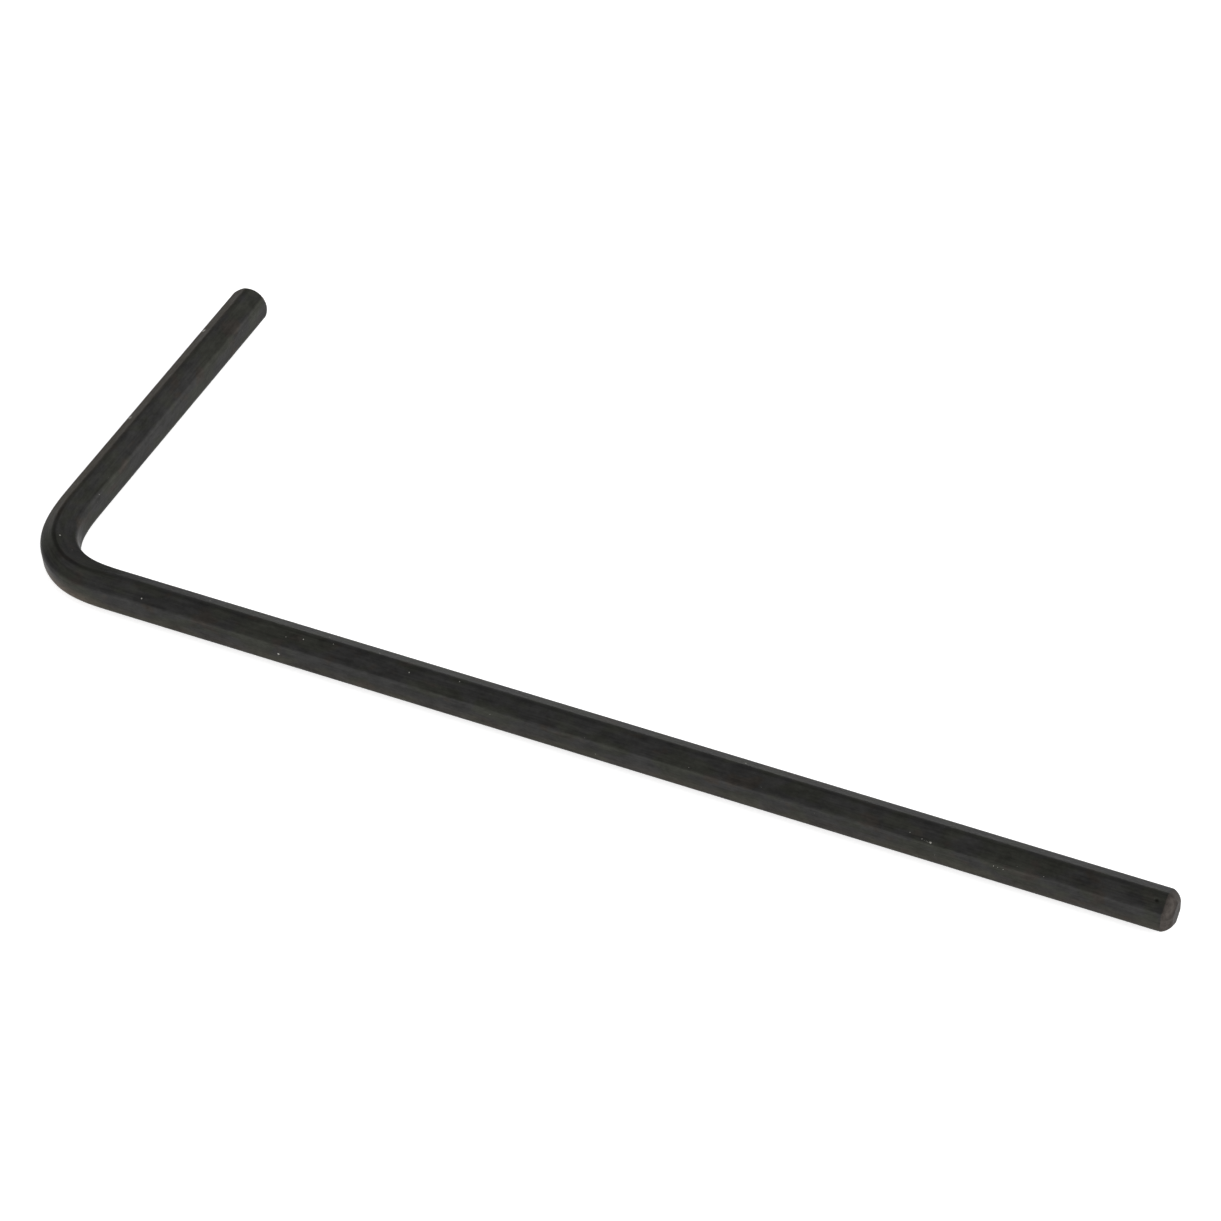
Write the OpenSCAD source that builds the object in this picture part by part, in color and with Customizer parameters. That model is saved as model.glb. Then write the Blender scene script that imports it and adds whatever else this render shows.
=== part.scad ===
// Hex key: an L-shaped wrench bent from one length of hexagonal steel wire.
// It lies as it rests on a table, on the lowest corner of both arms, with the
// long arm along +X and the short arm along +Y. All sizes are millimetres.

/* [Wire] */
// Distance between two opposite flats of the wire, which is the key's size
across_flats = 1.5; // [1:0.05:3]
// Radius of the six drawn corners along the wire
corner_r = 0.28; // [0.05:0.01:0.4]
// Lean of the top corner away from the inside of the bend, in degrees
corner_lean = 5; // [-15:1:15]

/* [Arms] */
// Overall length of the long arm, from its end to the outer side of the bend
long_arm = 47.4; // [20:0.1:120]
// Overall length of the short arm, from its end to the outer side of the bend
short_arm = 19.3; // [10:0.1:60]
// Radius of the inner side of the bend
bend_inner_r = 2.4; // [0.5:0.1:5]

/* [Ends] */
// Depth of the 45 degree chamfer at the end of the long arm, at the corners
long_chamfer = 0.27; // [0.05:0.01:0.4]
// Depth of the 45 degree chamfer at the end of the short arm, at the corners
short_chamfer = 0.27; // [0.05:0.01:0.4]

/* [Hidden] */
$fn = 64;
quarter_turn = 90;
corner_count = 6;
corner_step = 360 / corner_count;
// Each corner's rounding turns through one corner step, in this many short runs
corner_runs = 6;
// Direction of the top corner, from the outside of the bend (0) to straight up (90)
top_corner = quarter_turn - corner_lean;
// Distance from the wire's middle to the centre of each corner's rounding
corner_seat = (across_flats / 2 - corner_r) / cos(corner_step / 2);
// Distance from the wire's middle to the crest of a corner
corner_reach = corner_seat + corner_r;
// Radius of the bend along the wire's middle
bend_r = bend_inner_r + across_flats / 2;
// Distance from the crossing of the arms' centre lines to each end face
long_end = long_arm - section_reach(0);
short_end = short_arm - section_reach(0);
// Room round the wire for the tool that chamfers an end
trim_margin = across_flats / 4;

function polar(radius, angle) = radius * [cos(angle), sin(angle)];

// Points of one rounded corner, from the flat before it to the flat after it
function corner_points(angle) =
    [for (i = [0 : corner_runs])
        polar(corner_seat, angle) + polar(corner_r, angle + (i / corner_runs - 1 / 2) * corner_step)];

function section_points() =
    [for (i = [0 : corner_count - 1]) each corner_points(top_corner + i * corner_step)];

// How far the wire's section reaches from its middle in one direction
function section_reach(direction) = max([for (point = section_points()) point * polar(1, direction)]);

// Section of the wire, with +X away from the inside of the bend and +Y up
module wire_section() {
    polygon(section_points());
}

// Straight run of wire along +Z, with its far end chamfered all round
module chamfered_wire(length, chamfer) {
    face_r = corner_reach - chamfer;
    trim_r = corner_reach + trim_margin;
    intersection() {
        linear_extrude(height = length)
            wire_section();
        rotate_extrude()
            polygon([
                [0, 0],
                [trim_r, 0],
                [trim_r, length - (trim_r - face_r)],
                [face_r, length],
                [0, length],
            ]);
    }
}

// The section is mirrored here, because the wire leaves the bend the other way
module long_arm_wire() {
    translate([bend_r, 0, 0])
        rotate([quarter_turn, 0, quarter_turn])
            mirror([1, 0, 0])
                chamfered_wire(long_end - bend_r, long_chamfer);
}

module short_arm_wire() {
    translate([0, bend_r, 0])
        rotate([quarter_turn, 0, 2 * quarter_turn])
            chamfered_wire(short_end - bend_r, short_chamfer);
}

module bend() {
    translate([bend_r, bend_r, 0])
        rotate([0, 0, 2 * quarter_turn])
            rotate_extrude(angle = quarter_turn)
                translate([bend_r, 0])
                    wire_section();
}

// The whole key stands over the middle of its own outline, on the plane Z = 0
module hex_key() {
    middle_x = (long_end - section_reach(0)) / 2;
    middle_y = (short_end - section_reach(0)) / 2;
    color([0.22, 0.22, 0.23])
        translate([-middle_x, -middle_y, section_reach(-quarter_turn)])
            union() {
                long_arm_wire();
                bend();
                short_arm_wire();
            }
}

hex_key();
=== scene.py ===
import math
import bpy
import numpy as np
from mathutils import Matrix, Vector


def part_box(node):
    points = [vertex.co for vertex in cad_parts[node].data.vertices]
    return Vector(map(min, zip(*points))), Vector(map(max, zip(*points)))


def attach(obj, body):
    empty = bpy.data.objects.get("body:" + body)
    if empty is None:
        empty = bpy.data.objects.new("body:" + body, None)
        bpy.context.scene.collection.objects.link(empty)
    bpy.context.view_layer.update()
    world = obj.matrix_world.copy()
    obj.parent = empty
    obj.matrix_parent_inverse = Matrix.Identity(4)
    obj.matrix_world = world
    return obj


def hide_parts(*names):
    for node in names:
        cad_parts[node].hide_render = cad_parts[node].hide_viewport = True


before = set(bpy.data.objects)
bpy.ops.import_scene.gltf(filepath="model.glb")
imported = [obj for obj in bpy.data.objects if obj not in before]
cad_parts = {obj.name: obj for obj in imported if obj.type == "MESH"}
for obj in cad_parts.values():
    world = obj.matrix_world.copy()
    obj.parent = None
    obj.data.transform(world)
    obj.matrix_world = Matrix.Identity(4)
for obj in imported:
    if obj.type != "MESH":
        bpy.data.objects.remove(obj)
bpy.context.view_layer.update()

# The bent wire
# One length of hexagonal alloy steel wire, drawn through a die and cut off. Its two ends are
# chamfered in a lathe, it is bent cold round a pin, hardened, and blackened in hot oxide salts.

ACROSS_FLATS = 0.0015
CORNER_ROUNDING = 0.00028
CORNER_LEAN = math.radians(5)
CORNERS = 6
CORNER_RUNS = 8
SECTION_POINTS = 132

# The bend tightens from the long arm over the first length and eases out over the second. Its
# tightest place is about BEND_RUN along the wire from the long arm's end.
BEND_IN = 0.0031
BEND_OUT = 0.0049
BEND_RUN = 0.0455
PATH_STEP = 0.00001

# In the bend the corners roll outwards, the middle of the section shifts outwards, and the
# section tapers, by a share to the metre, from a thicker inside to a thinner outside.
BEND_ROLL = math.radians(2)
BEND_SHIFT = 0.00013
BEND_TAPER = 120.0

# Each end is chamfered and worn round, from a small flat face to the full section. The long arm's
# end is worn more, and keeps the hexagon's form. The short arm's end is as round as it was turned.
# A roundness of 1 is a straight chamfer, and 2 a round dome. Away from the ends, nothing is cut.
LONG_END_FACE = 0.00045
LONG_END_DEPTH = 0.00040
SHORT_END_FACE = 0.00046
SHORT_END_DEPTH = 0.00036
END_ROUNDNESS = 1.5
UNCUT_REACH = 1.0

# Rings of points over each end face and along the wire. The innermost ring of a face is small
# enough to close, and the wire's rings stand closer over about the last END_RINGS of them.
FACE_RINGS = 10
INNERMOST_RING = 0.1
WIRE_RINGS = 521
END_RINGS = 80

# Drawn faces are never quite even. They sink by this depth times the sum of the least sink and
# the waves' height, which is mostly near 0.5. The waves' cells to the metre are given two ways
# across the wire, and along it.
UNEVENNESS = 0.000004
LEAST_SINK = 0.2
WAVE_CELLS = (2600, 2600, 900)
WAVE_DETAIL = 2.0

corner_seat = (ACROSS_FLATS / 2 - CORNER_ROUNDING) / math.cos(math.pi / CORNERS)
corner_reach = corner_seat + CORNER_ROUNDING
top_corner = math.pi / 2 - CORNER_LEAN

WIRE_SIZES = {
    "Across flats": ACROSS_FLATS,
    "Corner rounding": CORNER_ROUNDING,
    "Top corner": top_corner,
    "Bend roll": BEND_ROLL,
    "Bend shift": BEND_SHIFT,
    "Bend taper": BEND_TAPER,
    "Unevenness": UNEVENNESS,
}


def section_reach(direction):
    """How far the section reaches from its middle. 0 is away from the inside of the bend, and a
    quarter turn is up."""
    turns = [top_corner + i * 2 * math.pi / CORNERS for i in range(CORNERS)]
    return CORNER_ROUNDING + corner_seat * max(math.cos(turn - direction) for turn in turns)


key_low, key_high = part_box("hex_key")
long_line_y = key_low.y + section_reach(0)
short_line_x = key_low.x + section_reach(0)
middle_z = key_low.z + section_reach(-math.pi / 2)


def bend_curvature(distance):
    """Curvature of the wire at a distance from the tightest place, in one smooth swell that adds
    up to a quarter turn."""
    share = np.where(distance < 0, distance / BEND_IN, distance / BEND_OUT)
    swell = 0.5 + 0.5 * np.cos(math.pi * np.clip(share, -1, 1))
    return math.pi / (BEND_IN + BEND_OUT) * swell


def wire_path():
    """Distances, places and headings along the wire's middle, drawn out past both its ends, and
    then the distances of the long arm's end and the short arm's."""
    distance = np.arange(-(key_high.x - key_low.x), key_high.y - key_low.y, PATH_STEP)
    heading = np.cumsum(bend_curvature(distance)) * PATH_STEP
    x = np.cumsum(-np.cos(heading)) * PATH_STEP
    y = np.cumsum(np.sin(heading)) * PATH_STEP
    x += short_line_x - x[-1]
    y += long_line_y - y[0]
    start = np.interp(-key_high.x, -x, distance)
    end = np.interp(key_high.y, y, distance)
    return distance, x, y, heading, start, end


def end_cut(to_end, face_radius, depth):
    """Share of the section that is gone at a distance from an end."""
    past = np.clip(1 - to_end / depth, 0, 1)
    rise = (1 - past ** END_ROUNDNESS) ** (1 / END_ROUNDNESS)
    return (1 - face_radius / corner_reach) * (1 - rise)


def centre_line():
    """The wire's middle as a line of points, one for each ring of its surface. Each point carries
    marks for its ring: where it is, which way is out of the bend, and how the section changes."""
    distance, x, y, heading, start, end = wire_path()
    middle_ring = (WIRE_RINGS - 1) / 2
    index = np.arange(WIRE_RINGS)
    from_end = middle_ring - np.abs(index - middle_ring)
    spread = np.hypot(from_end, END_RINGS) - END_RINGS
    to_end = spread / spread.max() * (end - start) / 2
    ring = np.where(index < middle_ring, start + to_end, end - to_end)
    ring = np.concatenate([np.full(FACE_RINGS, start), ring, np.full(FACE_RINGS, end)])
    to_end = np.concatenate([np.zeros(FACE_RINGS), to_end, np.zeros(FACE_RINGS)])
    long_cut = end_cut(to_end, LONG_END_FACE, LONG_END_DEPTH)
    short_cut = end_cut(to_end, SHORT_END_FACE, SHORT_END_DEPTH)
    cut = np.where(ring < 0, long_cut, short_cut)
    end_reach = np.where(cut > 0, corner_reach * (1 - cut), UNCUT_REACH)
    face = (np.arange(FACE_RINGS) + INNERMOST_RING) / FACE_RINGS
    face = np.concatenate([face, np.ones(WIRE_RINGS), face[::-1]])
    ring_heading = np.interp(ring, distance, heading)
    ring_x = np.interp(ring, distance, x)
    ring_y = np.interp(ring, distance, y)
    places = np.stack([ring_x, ring_y, np.full(len(ring), middle_z)], 1)
    outward = np.stack([-np.sin(ring_heading), -np.cos(ring_heading), np.zeros(len(ring))], 1)

    line = bpy.data.meshes.new("centre_line")
    line.from_pydata(places.tolist(), [(i, i + 1) for i in range(len(ring) - 1)], [])
    marks = {
        "run": ("FLOAT", ring - start),
        "end_reach": ("FLOAT", end_reach),
        "face_share": ("FLOAT", face),
        "bend": ("FLOAT", bend_curvature(ring) / bend_curvature(np.zeros(1))),
        "middle": ("FLOAT_VECTOR", places),
        "outward": ("FLOAT_VECTOR", outward),
    }
    for name, (kind, values) in marks.items():
        mark = line.attributes.new(name, kind, "POINT")
        field = "value" if kind == "FLOAT" else "vector"
        mark.data.foreach_set(field, values.astype(np.float32).ravel())
    return line


class Port:
    """An output socket in a node tree. Arithmetic on it adds Math nodes."""

    def __init__(self, graph, node, socket):
        self.graph = graph
        self.node = node
        self.socket = socket

    def output(self, name):
        """Another output of the same node."""
        return Port(self.graph, self.node, self.node.outputs[name])

    def math(self, operation, *others):
        """A Math node with this value first and the others after it."""
        values = {0: self, **dict(enumerate(others, 1))}
        return self.graph.add("ShaderNodeMath", {"operation": operation}, values)

    def __add__(self, other):
        return self.math("ADD", other)

    def __sub__(self, other):
        return self.math("SUBTRACT", other)

    def __mul__(self, other):
        return self.math("MULTIPLY", other)

    def __truediv__(self, other):
        return self.math("DIVIDE", other)

    def __rsub__(self, other):
        return self.graph.add("ShaderNodeMath", {"operation": "SUBTRACT"}, {0: other, 1: self})

    __radd__ = __add__
    __rmul__ = __mul__


class Graph:
    """A node tree, with one method that adds any node to it."""

    def __init__(self, tree):
        self.tree = tree
        tree.nodes.clear()

    def add(self, kind, settings=None, sockets=None):
        """Adds a node, makes its settings, then joins or sets its sockets. Gives its first live
        output."""
        node = self.tree.nodes.new(kind)
        for name, value in (settings or {}).items():
            if name == "stops":
                self.set_stops(node.color_ramp, value)
            else:
                setattr(node, name, value)
        for name, value in (sockets or {}).items():
            if isinstance(value, Port):
                self.tree.links.new(value.socket, node.inputs[name])
            else:
                node.inputs[name].default_value = value
        live = [socket for socket in node.outputs if socket.enabled]
        return Port(self, node, live[0]) if live else None

    def set_stops(self, ramp, stops):
        while len(ramp.elements) < len(stops):
            ramp.elements.new(1.0)
        for element, (place, shade) in zip(ramp.elements, stops):
            element.position = place
            element.color = shade


def wire_tree():
    """Sweeps the hexagonal section along the centre line, with its swell in the bend and its two
    rounded ends."""
    tree = bpy.data.node_groups.new("bent_wire", "GeometryNodeTree")
    tree.interface.new_socket("Centre line", in_out="INPUT", socket_type="NodeSocketGeometry")
    for name in WIRE_SIZES:
        tree.interface.new_socket(name, in_out="INPUT", socket_type="NodeSocketFloat")
    tree.interface.new_socket("Finish", in_out="INPUT", socket_type="NodeSocketMaterial")
    tree.interface.new_socket("Wire", in_out="OUTPUT", socket_type="NodeSocketGeometry")
    graph = Graph(tree)
    given = graph.add("NodeGroupInput")

    def read(name, kind="FLOAT"):
        return graph.add("GeometryNodeInputNamedAttribute", {"data_type": kind}, {"Name": name})

    def store(geometry, name, value, kind="FLOAT_VECTOR"):
        return graph.add("GeometryNodeStoreNamedAttribute", {"data_type": kind},
                         {"Geometry": geometry, "Name": name, "Value": value})

    # The section is a hexagon with its first corner at angle 0, which is outwards until it is turned.
    hexagon_radius = given.output("Across flats") * 0.5 / math.cos(math.pi / CORNERS)
    hexagon = graph.add("GeometryNodeCurvePrimitiveCircle", {"mode": "RADIUS"},
                        {"Resolution": CORNERS, "Radius": hexagon_radius})
    section = graph.add("GeometryNodeFilletCurve", {"mode": "POLY"},
                        {"Curve": hexagon, "Radius": given.output("Corner rounding"), "Count": CORNER_RUNS})
    section = graph.add("GeometryNodeResampleCurve", {"mode": "COUNT"},
                        {"Curve": section, "Count": SECTION_POINTS})
    section = store(section, "section", graph.add("GeometryNodeInputPosition"))
    spine = graph.add("GeometryNodeMeshToCurve", None, {"Mesh": given.output("Centre line")})
    wire = graph.add("GeometryNodeCurveToMesh", None,
                     {"Curve": spine, "Profile Curve": section, "Fill Caps": True})

    # Each point's place in its section: out is away from the inside of the bend.
    bend = read("bend")
    turn = given.output("Top corner") - bend * given.output("Bend roll")
    turned = graph.add("ShaderNodeVectorRotate", {"rotation_type": "Z_AXIS"},
                       {"Vector": read("section", "FLOAT_VECTOR"), "Angle": turn})
    parts = graph.add("ShaderNodeSeparateXYZ", None, {0: turned})
    out, up = parts, parts.output("Y")
    out_share = out / corner_reach
    out = out + bend * given.output("Bend shift") * (1 - out_share * out_share)
    up = up * (1 - bend * given.output("Bend taper") * out)

    # Near the long arm's end the whole section shrinks, and near the short arm's end only what
    # reaches past the turned edge is cut off. Over an end face it shrinks to the face's middle.
    reach = (out * out + up * up).math("SQRT")
    shrinks = read("run").math("LESS_THAN", BEND_RUN)
    full_reach = reach + (corner_reach - reach) * shrinks
    uncut = (read("end_reach") / full_reach).math("MINIMUM", 1.0)
    kept = uncut * read("face_share")
    out = out * kept
    up = up * kept
    outwards = graph.add("ShaderNodeVectorMath", {"operation": "SCALE"},
                         {"Vector": read("outward", "FLOAT_VECTOR"), "Scale": out})
    upwards = graph.add("ShaderNodeCombineXYZ", None, {"Z": up})
    place = graph.add("ShaderNodeVectorMath", {"operation": "ADD"}, {0: outwards, 1: upwards})
    place = graph.add("ShaderNodeVectorMath", {"operation": "ADD"},
                      {0: place, 1: read("middle", "FLOAT_VECTOR")})
    wire = graph.add("GeometryNodeSetPosition", None, {"Geometry": wire, "Position": place})

    # The finish reads these: each point's place in the unbent wire, how much of the section is cut
    # there, and how near the point is to a corner's crest.
    drawn = graph.add("ShaderNodeCombineXYZ", None, {"X": out, "Y": up, "Z": read("run")})
    wire = store(wire, "drawn", drawn)
    wire = store(wire, "cut", 1 - uncut, "FLOAT")
    from_middle = graph.add("ShaderNodeVectorMath", {"operation": "LENGTH"},
                            {0: read("section", "FLOAT_VECTOR")}).output("Value")
    flat = given.output("Across flats") / 2
    wire = store(wire, "crest", (from_middle - flat) / (corner_reach - flat), "FLOAT")

    # The faces sink a little, in long shallow waves.
    stretched = graph.add("ShaderNodeVectorMath", {"operation": "MULTIPLY"},
                          {0: read("drawn", "FLOAT_VECTOR"), 1: WAVE_CELLS})
    waves = graph.add("ShaderNodeTexNoise", {"noise_dimensions": "3D"},
                      {"Vector": stretched, "Scale": 1.0, "Detail": WAVE_DETAIL})
    sink = (waves + LEAST_SINK) * given.output("Unevenness") * -1
    sunk = graph.add("ShaderNodeVectorMath", {"operation": "SCALE"},
                     {"Vector": graph.add("GeometryNodeInputNormal"), "Scale": sink})
    wire = graph.add("GeometryNodeSetPosition", None, {"Geometry": wire, "Offset": sunk})

    wire = graph.add("GeometryNodeSetShadeSmooth", None, {"Geometry": wire})
    wire = graph.add("GeometryNodeRealizeInstances", None, {"Geometry": wire})
    wire = graph.add("GeometryNodeSetMaterial", None, {"Geometry": wire, "Material": given.output("Finish")})
    graph.add("NodeGroupOutput", None, {0: wire})
    return tree


# Colours of the oxide over the drawn faces, of the turned ends, and of bare metal.
OXIDE_GREY = (0.0390, 0.0385, 0.0380, 1)
OXIDE_OLIVE = (0.0395, 0.0404, 0.0345, 1)
OXIDE_BROWN = (0.0430, 0.0385, 0.0345, 1)
# The worn brown also carries a painted highlight, low on the outside of the bend.
WORN_BROWN_HIGHLIGHT = (0.1350, 0.1120, 0.0900, 1)
# The dark brown also carries painted shade, on the outer side of the short arm.
DARK_BROWN_SHADE = (0.0360, 0.0290, 0.0190, 1)
TURNED_BROWN = (0.0475, 0.0418, 0.0380)
BARE_STEEL = (0.42, 0.41, 0.38, 1)
OXIDE_EDGE_TINT = (0.67, 0.67, 0.67, 1)

# Each pattern in the finish: its cells to the metre across the wire and along it, its detail, and
# a start that sets it apart from the others.
LINE_GRAIN = (14000, 600, 3.0, 0.0)
MOTTLE_GRAIN = (2400, 1300, 3.0, 7.0)
SPECK_GRAIN = (9000, 6000, 2.0, 13.0)
OLIVE_GRAIN = (1100, 650, 2.0, 23.0)
BROWN_GRAIN = (1300, 800, 2.0, 31.0)
BLOTCH_GRAIN = (7000, 7000, 3.0, 41.0)
GRAIN_ROUGHNESS = 0.6

# Where each part of the finish begins, and where it is full. The patches go by their own pattern.
# The sides go by metres out from the wire's middle, the heights by metres up from it, and the short arm by
# metres along the wire. This share of the wear and its painted highlight is found all along it.
OLIVE_PATCHES = (0.44, 0.58)
BROWN_PATCHES = (0.56, 0.68)
OUTER_SIDE = (0.0, 0.0003)
WEAR_HIGHLIGHT_HEIGHTS = (0.0002, -0.0004)
DULL_SHADE_HEIGHTS = (0.0001, 0.0004)
SHORT_ARM_RUNS = (BEND_RUN + 0.001, BEND_RUN + 0.0035)
WEAR_HIGHLIGHT_ALL_ALONG = 0.14

# The painted shade along the top corner, a dark line: how near the crest and how high up it is, and how
# dark.
PAINTED_SHADE_CREST = (0.78, 1.0)
PAINTED_SHADE_HEIGHTS = (0.0005, 0.0007)
PAINTED_SHADE_ON_LONG_ARM = 0.2
PAINTED_SHADE_IN_BEND = 0.22

# How strongly the patterns lighten and darken the oxide, and how much painted shade darkens the dent. The
# specks are stronger where the oxide is dull and painted darker, and where it is worn and painted lighter.
LINE_SHADE = 0.7
MOTTLE_SHADE = 1.0
SPECK_SHADE = 0.5
DULL_AND_SHADED_SPECK_SHADE = 1.5
WEAR_HIGHLIGHT_SPECK_SHADE = 0.8
DENT_PAINTED_SHADE = 0.75

# The turned ends begin within this share of the section cut off. Their edges this far from the middle carry
# a painted highlight. It is left off in one direction, outwards and up, and is full where they face well
# away from it, by the cosine of the angle between.
TURNED_SHARES = (0.002, 0.010)
TIP_HIGHLIGHT_REACHES = (0.0003, 0.00045)
UNHIGHLIGHTED_OUT = 0.57
UNHIGHLIGHTED_UP = 0.82
TIP_HIGHLIGHT_COSINES = (0.97, 0.65)
BLOTCH_SHADE = 1.2
# The short arm's turned end is painted lighter by this share, a painted highlight.
SHORT_END_HIGHLIGHT = 0.9
TIP_HIGHLIGHT_LIGHTER = 0.45

# A chip's ragged edge, in shares of its radius: how far it wanders, and how soft it is.
CHIP_RAGGEDNESS = 0.8
CHIP_EDGE = (1.2, 0.8)

# Roughness of the oxide, what each pattern adds to it, and each pattern's share in the relief.
OXIDE_ROUGHNESS = 0.37
LINE_ROUGHNESS = 0.14
MOTTLE_ROUGHNESS = 0.22
TURNED_ROUGHNESS = 0.1
DULL_ROUGHNESS = 0.1
LINE_RELIEF = 0.35
SPECK_RELIEF = 0.7
TURNED_RELIEF = 0.8
RELIEF_DEPTH = 0.00001


def black_oxide():
    """Hot black oxide on drawn steel: fine lines along the wire, uneven colour, chips, worn brown places
    that also carry a painted highlight, and painted shade along the top corner, in the dent and on the short
    arm's outer side, with painted highlights on the turned ends."""
    finish = bpy.data.materials.new("black_oxide")
    finish.use_nodes = True
    graph = Graph(finish.node_tree)

    def mark(name, output="Fac"):
        return graph.add("ShaderNodeAttribute", {"attribute_name": name}).output(output)

    def grain(across, along, detail, start):
        """Noise with this many cells to the metre across and along the wire. It is 0.5 on average."""
        place = graph.add("ShaderNodeVectorMath", {"operation": "MULTIPLY_ADD"},
                          {0: mark("drawn", "Vector"), 1: (across, across, along), 2: (start, start, start)})
        return graph.add("ShaderNodeTexNoise", None,
                         {"Vector": place, "Scale": 1.0, "Detail": detail, "Roughness": GRAIN_ROUGHNESS})

    def ramp(value, low, high):
        return graph.add("ShaderNodeMapRange", {"interpolation_type": "SMOOTHSTEP"},
                         {"Value": value, "From Min": low, "From Max": high})

    def mix(share, one, other):
        return graph.add("ShaderNodeMix", {"data_type": "RGBA"}, {0: share, 6: one, 7: other})

    def tone(colour, shade):
        return graph.add("ShaderNodeVectorMath", {"operation": "SCALE"}, {0: colour, "Scale": shade})

    lines = grain(*LINE_GRAIN)
    mottle = grain(*MOTTLE_GRAIN)
    specks = grain(*SPECK_GRAIN)
    olive = grain(*OLIVE_GRAIN)
    brown = grain(*BROWN_GRAIN)

    place = graph.add("ShaderNodeSeparateXYZ", None, {0: mark("drawn", "Vector")})
    out, up, run = place, place.output("Y"), place.output("Z")
    bend = mark("bend")
    short_arm = ramp(run, *SHORT_ARM_RUNS)

    # The oxide drifts between grey, olive and brown. Low on the outside of the bend it is a lighter worn
    # brown that also carries a painted highlight, and on the outer side of the short arm it is a dull dark
    # brown that also carries painted shade.
    oxide = mix(ramp(olive, *OLIVE_PATCHES), OXIDE_GREY, OXIDE_OLIVE)
    oxide = mix(ramp(brown, *BROWN_PATCHES), oxide, OXIDE_BROWN)
    outside = ramp(out, *OUTER_SIDE)
    wear_and_highlight = outside * ramp(up, *WEAR_HIGHLIGHT_HEIGHTS) * (bend * (1 - WEAR_HIGHLIGHT_ALL_ALONG) + WEAR_HIGHLIGHT_ALL_ALONG)
    oxide = mix(wear_and_highlight, oxide, WORN_BROWN_HIGHLIGHT)
    # On the short arm's outer side the oxide is a dull dark brown, darkened further as painted shade.
    dull_and_shade = outside * ramp(up, *DULL_SHADE_HEIGHTS) * short_arm
    oxide = mix(dull_and_shade, oxide, DARK_BROWN_SHADE)

    # A dark line of painted shade follows the top corner, from the long arm through the bend, and painted
    # shade darkens the dent. The drawn lines, mottling and specks lighten or darken the rest.
    line = ramp(mark("crest"), *PAINTED_SHADE_CREST) * ramp(up, *PAINTED_SHADE_HEIGHTS)
    line = line * ((1 - short_arm) * PAINTED_SHADE_ON_LONG_ARM + bend * PAINTED_SHADE_IN_BEND)
    speck_shade = dull_and_shade * DULL_AND_SHADED_SPECK_SHADE + wear_and_highlight * WEAR_HIGHLIGHT_SPECK_SHADE + SPECK_SHADE
    shade = (lines - 0.5) * LINE_SHADE + (mottle - 0.5) * MOTTLE_SHADE + (specks - 0.5) * speck_shade + 1
    shade = shade * (1 - line) * (1 - mark("dent") * DENT_PAINTED_SHADE)
    oxide = tone(oxide, shade)

    # The turned ends are a plainer brown, with an edge where they begin. Their edges carry a painted
    # highlight, but not where they look up and outwards, and the short arm's end carries a painted highlight
    # too.
    turned = ramp(mark("cut"), *TURNED_SHARES)
    blotches = grain(*BLOTCH_GRAIN)
    reach = (out * out + up * up).math("SQRT")
    unhighlighted_cosine = (out * UNHIGHLIGHTED_OUT + up * UNHIGHLIGHTED_UP) / reach
    tip_highlight = ramp(unhighlighted_cosine, *TIP_HIGHLIGHT_COSINES) * ramp(reach, *TIP_HIGHLIGHT_REACHES)
    turned_shade = (blotches - 0.5) * BLOTCH_SHADE + 1
    turned_shade = turned_shade * (short_arm * SHORT_END_HIGHLIGHT + 1) * (tip_highlight * TIP_HIGHLIGHT_LIGHTER + 1)
    colour = mix(turned, oxide, tone(TURNED_BROWN, turned_shade))

    # Bare metal shows in the chips.
    chip = graph.add("ShaderNodeSeparateXYZ", None, {0: mark("chip", "Vector")})
    along, around, radius = chip, chip.output("Y"), chip.output("Z")
    away = (along * along + around * around).math("SQRT") / radius
    bare = ramp(away + (blotches - 0.5) * CHIP_RAGGEDNESS, *CHIP_EDGE)
    colour = mix(bare, colour, BARE_STEEL)

    roughness = (lines - 0.5) * LINE_ROUGHNESS + (mottle - 0.5) * MOTTLE_ROUGHNESS
    roughness = roughness + turned * TURNED_ROUGHNESS + dull_and_shade * DULL_ROUGHNESS + OXIDE_ROUGHNESS
    relief = lines * LINE_RELIEF + mottle + specks * SPECK_RELIEF + turned * blotches * TURNED_RELIEF
    bump = graph.add("ShaderNodeBump", None,
                     {"Strength": 1.0, "Distance": RELIEF_DEPTH, "Height": relief})
    steel = graph.add("ShaderNodeBsdfPrincipled", None,
                      {"Base Color": colour, "Metallic": 1.0, "Roughness": roughness,
                       "Specular Tint": OXIDE_EDGE_TINT, "Normal": bump})
    graph.add("ShaderNodeOutputMaterial", None, {"Surface": steel})
    return finish


# Where the oxide has chipped to bare steel: distance from the long arm's end in millimetres,
# turn round the wire from the outside of the bend in degrees, and radius in millimetres.
CHIPS = (
    (6.7, 24, 0.014), (9.15, 34, 0.030), (9.5, 37, 0.014), (10.0, 44, 0.014), (16.75, 106, 0.024),
    (28.2, 81, 0.018), (30.2, 65, 0.021), (31.65, 100, 0.022), (33.45, 79, 0.014), (33.8, 107, 0.020),
    (34.65, 68, 0.022), (35.35, 60, 0.014), (35.5, 3, 0.040), (38.9, 108, 0.022), (41.45, 45, 0.030),
    (46.4, 91, 0.031), (54.3, 44, 0.070), (60.55, 44, 0.080),
)
MILLIMETRES = 1000

# Tiny chips lie anywhere, but for the last millimetre at each end.
SMALL_CHIPS = 60
SMALL_CHIP_RADII = (0.005, 0.012)
SMALL_CHIP_MARGIN = 1
CHIP_SEED = 11

# Points within the reach of a chip are marked with it. The others are marked as far from any.
CHIP_REACH = 0.0002
NO_CHIP_NEAR = (1.0, 1.0, 0.001)

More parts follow.
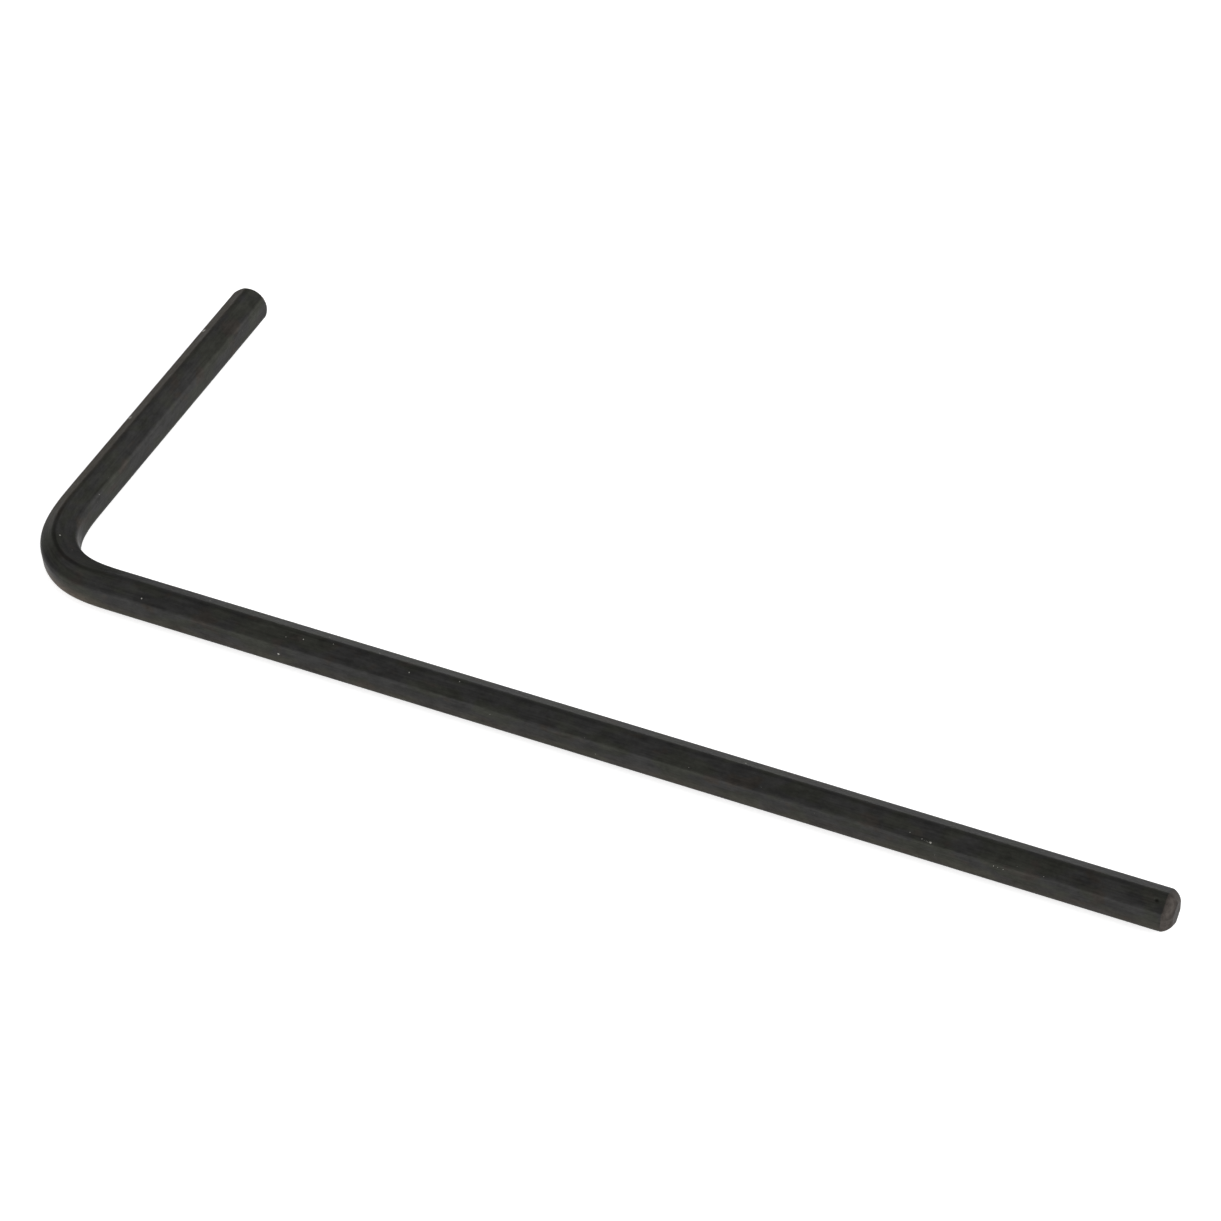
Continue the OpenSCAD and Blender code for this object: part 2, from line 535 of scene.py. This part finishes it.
# One dent near the long arm's end, in the same measures as the chips, with its depth.
DENT = (0.70, 63, 0.115)
DENT_DEPTH = 0.00004
DENT_ROUNDNESS = 1.5


def wear_wire(mesh):
    """Marks the points near each chip with their distances from its middle and its radius, and
    presses in the dent."""
    drawn = np.empty(3 * len(mesh.vertices), np.float32)
    mesh.attributes["drawn"].data.foreach_get("vector", drawn)
    out, up, run = drawn.reshape(-1, 3).T.astype(float)

    def from_spot(spot_run, spot_turn):
        """Distances of every point from a spot, along the wire and round it."""
        swing = np.arctan2(up, out) - math.radians(spot_turn)
        swing = (swing + math.pi) % (2 * math.pi) - math.pi
        return run - spot_run / MILLIMETRES, swing * np.hypot(out, up)

    chance = np.random.default_rng(CHIP_SEED)
    last_run = MILLIMETRES * run.max() - SMALL_CHIP_MARGIN
    lowest = (SMALL_CHIP_MARGIN, -180, SMALL_CHIP_RADII[0])
    highest = (last_run, 180, SMALL_CHIP_RADII[1])
    small = chance.uniform(lowest, highest, (SMALL_CHIPS, 3))
    marks = np.tile(NO_CHIP_NEAR, (len(run), 1))
    for chip_run, chip_turn, radius in [*small, *CHIPS]:
        along, around = from_spot(chip_run, chip_turn)
        near = np.hypot(along, around) < CHIP_REACH
        marks[near] = np.stack([along, around, np.full(len(run), radius / MILLIMETRES)], 1)[near]
    chip = mesh.attributes.new("chip", "FLOAT_VECTOR", "POINT")
    chip.data.foreach_set("vector", marks.astype(np.float32).ravel())

    dent_run, dent_turn, dent_radius = DENT
    along, around = from_spot(dent_run, dent_turn)
    inside = np.clip(1 - (along ** 2 + around ** 2) / (dent_radius / MILLIMETRES) ** 2, 0, 1)
    pressed = inside ** DENT_ROUNDNESS
    dent = mesh.attributes.new("dent", "FLOAT", "POINT")
    dent.data.foreach_set("value", pressed.astype(np.float32))
    places = np.empty(3 * len(run), np.float32)
    normals = np.empty(3 * len(run), np.float32)
    mesh.vertices.foreach_get("co", places)
    mesh.vertex_normals.foreach_get("vector", normals)
    places -= normals * np.repeat(pressed, 3).astype(np.float32) * DENT_DEPTH
    mesh.vertices.foreach_set("co", places)


def bend_wire():
    """Makes the swept and finished wire, as one plain mesh."""
    wire = bpy.data.objects.new("bent_wire", centre_line())
    bpy.context.scene.collection.objects.link(wire)
    sweep = wire.modifiers.new("sweep", "NODES")
    sweep.node_group = wire_tree()
    inputs = {**WIRE_SIZES, "Finish": black_oxide()}
    for socket in sweep.node_group.interface.items_tree:
        if socket.name in inputs:
            sweep[socket.identifier] = inputs[socket.name]
    depsgraph = bpy.context.evaluated_depsgraph_get()
    mesh = bpy.data.meshes.new_from_object(wire.evaluated_get(depsgraph), depsgraph=depsgraph)
    wire.modifiers.clear()
    wear_wire(mesh)
    wire.data = mesh
    return wire


wire = bend_wire()
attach(wire, "root")
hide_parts("hex_key")


# The table
# A plain white matt surface, wide and level. The key lies loose on it, and casts a soft shadow.
# It glows a little by itself where the camera sees it, and less where the steel mirrors it.

TABLE_HALF = 2.0
TABLE_CORNERS = ((-1, -1), (1, -1), (1, 1), (-1, 1))
TABLE_WHITE = (0.8, 0.8, 0.8, 1)
TABLE_SEEN_GLOW = 0.66
TABLE_MIRRORED_GLOW = 0.47
WHITE = (1, 1, 1, 1)


def white_table():
    finish = bpy.data.materials.new("white_table")
    finish.use_nodes = True
    graph = Graph(finish.node_tree)
    paper = graph.add("ShaderNodeBsdfDiffuse", None, {"Color": TABLE_WHITE})
    rays = graph.add("ShaderNodeLightPath")
    seen = rays.output("Is Camera Ray") * TABLE_SEEN_GLOW
    seen = seen + rays.output("Is Glossy Ray") * TABLE_MIRRORED_GLOW
    glow = graph.add("ShaderNodeEmission", None, {"Color": WHITE, "Strength": seen})
    both = graph.add("ShaderNodeAddShader", None, {0: paper, 1: glow})
    graph.add("ShaderNodeOutputMaterial", None, {"Surface": both})
    return finish


table_mesh = bpy.data.meshes.new("table")
table_places = [(x * TABLE_HALF, y * TABLE_HALF, key_low.z) for x, y in TABLE_CORNERS]
table_mesh.from_pydata(table_places, [], [(0, 1, 2, 3)])
table_mesh.materials.append(white_table())
table = bpy.data.objects.new("table", table_mesh)
bpy.context.scene.collection.objects.link(table)


# The light
# A white room lights the key evenly. Its right side is a large soft window, the wall in front is
# bright low down, and the ceiling and the other walls are dimmer.

# Which way each wall lies, and its brightness at the floor and at a few heights, each given as
# the sine of its angle. All walls end in the ceiling's brightness straight overhead.
CEILING = 0.58
WALLS = {
    "front": ((0, -1, 0), ((0.0, 1.2), (0.25, 1.6), (0.5, 1.35), (0.7, 0.7), (0.86, 0.6))),
    "right": ((1, 0, 0), ((0.0, 1.8), (0.3, 2.9), (0.6, 2.1))),
    "back": ((0, 1, 0), ((0.0, 0.43), (0.3, 0.6), (0.6, 0.78))),
    "left": ((-1, 0, 0), ((0.0, 0.5), (0.3, 0.6), (0.6, 0.45))),
}

# The ramps hold shares of this brightness.
BRIGHTEST = 4.0

# A hair over 1, so that straight overhead nothing is divided by 0.
OVERHEAD = 1.000001


def white_room():
    world = bpy.data.worlds.new("white_room")
    bpy.context.scene.world = world
    world.use_nodes = True
    graph = Graph(world.node_tree)
    way = graph.add("ShaderNodeTexCoord").output("Generated")
    height = graph.add("ShaderNodeSeparateXYZ", None, {0: way}).output("Z")
    level = (OVERHEAD - height * height).math("SQRT")
    room = 0.0
    for facing, stops in WALLS.values():
        shades = [(place, (glow / BRIGHTEST,) * 3 + (1,)) for place, glow in stops + ((1.0, CEILING),)]
        wall = graph.add("ShaderNodeValToRGB", {"stops": shades}, {"Fac": height})
        toward = graph.add("ShaderNodeVectorMath", {"operation": "DOT_PRODUCT"},
                           {0: way, 1: facing}).output("Value")
        toward = (toward / level).math("MAXIMUM", 0.0)
        room = wall * toward * toward + room
    camera = graph.add("ShaderNodeLightPath").output("Is Camera Ray")
    room = room * BRIGHTEST * (1 - camera) + camera
    sky = graph.add("ShaderNodeBackground", None, {"Color": WHITE, "Strength": room})
    graph.add("ShaderNodeOutputWorld", None, {"Surface": sky})


white_room()


# The camera
# It looks down on the key from in front of its long arm, past the long arm's end. It aims at a
# point to the right of the arms' crossing and a little below it.

CAMERA_TURN = math.radians(24.261)
CAMERA_RISE = math.radians(40.818)
CAMERA_DISTANCE = 0.18235
AIM_RIGHT = 0.022374
AIM_UP = -0.0017650
LENS = 139.24
SENSOR = 36.0
NEAREST_SEEN = 0.001
FURTHEST_SEEN = 10

back = Vector((math.sin(CAMERA_TURN) * math.cos(CAMERA_RISE),
               -math.cos(CAMERA_TURN) * math.cos(CAMERA_RISE), math.sin(CAMERA_RISE)))
right = Vector((math.cos(CAMERA_TURN), math.sin(CAMERA_TURN), 0))
up = back.cross(right)
lens = bpy.data.cameras.new("camera")
lens.lens = LENS
lens.sensor_width = SENSOR
lens.clip_start = NEAREST_SEEN
lens.clip_end = FURTHEST_SEEN
camera = bpy.data.objects.new("camera", lens)
bpy.context.scene.collection.objects.link(camera)
crossing = Vector((short_line_x, long_line_y, middle_z))
stand = crossing + right * AIM_RIGHT + up * AIM_UP + back * CAMERA_DISTANCE
camera.matrix_world = Matrix.Translation(stand) @ Matrix((right, up, back)).transposed().to_4x4()
bpy.context.scene.camera = camera
bpy.context.scene.view_settings.view_transform = "Standard"
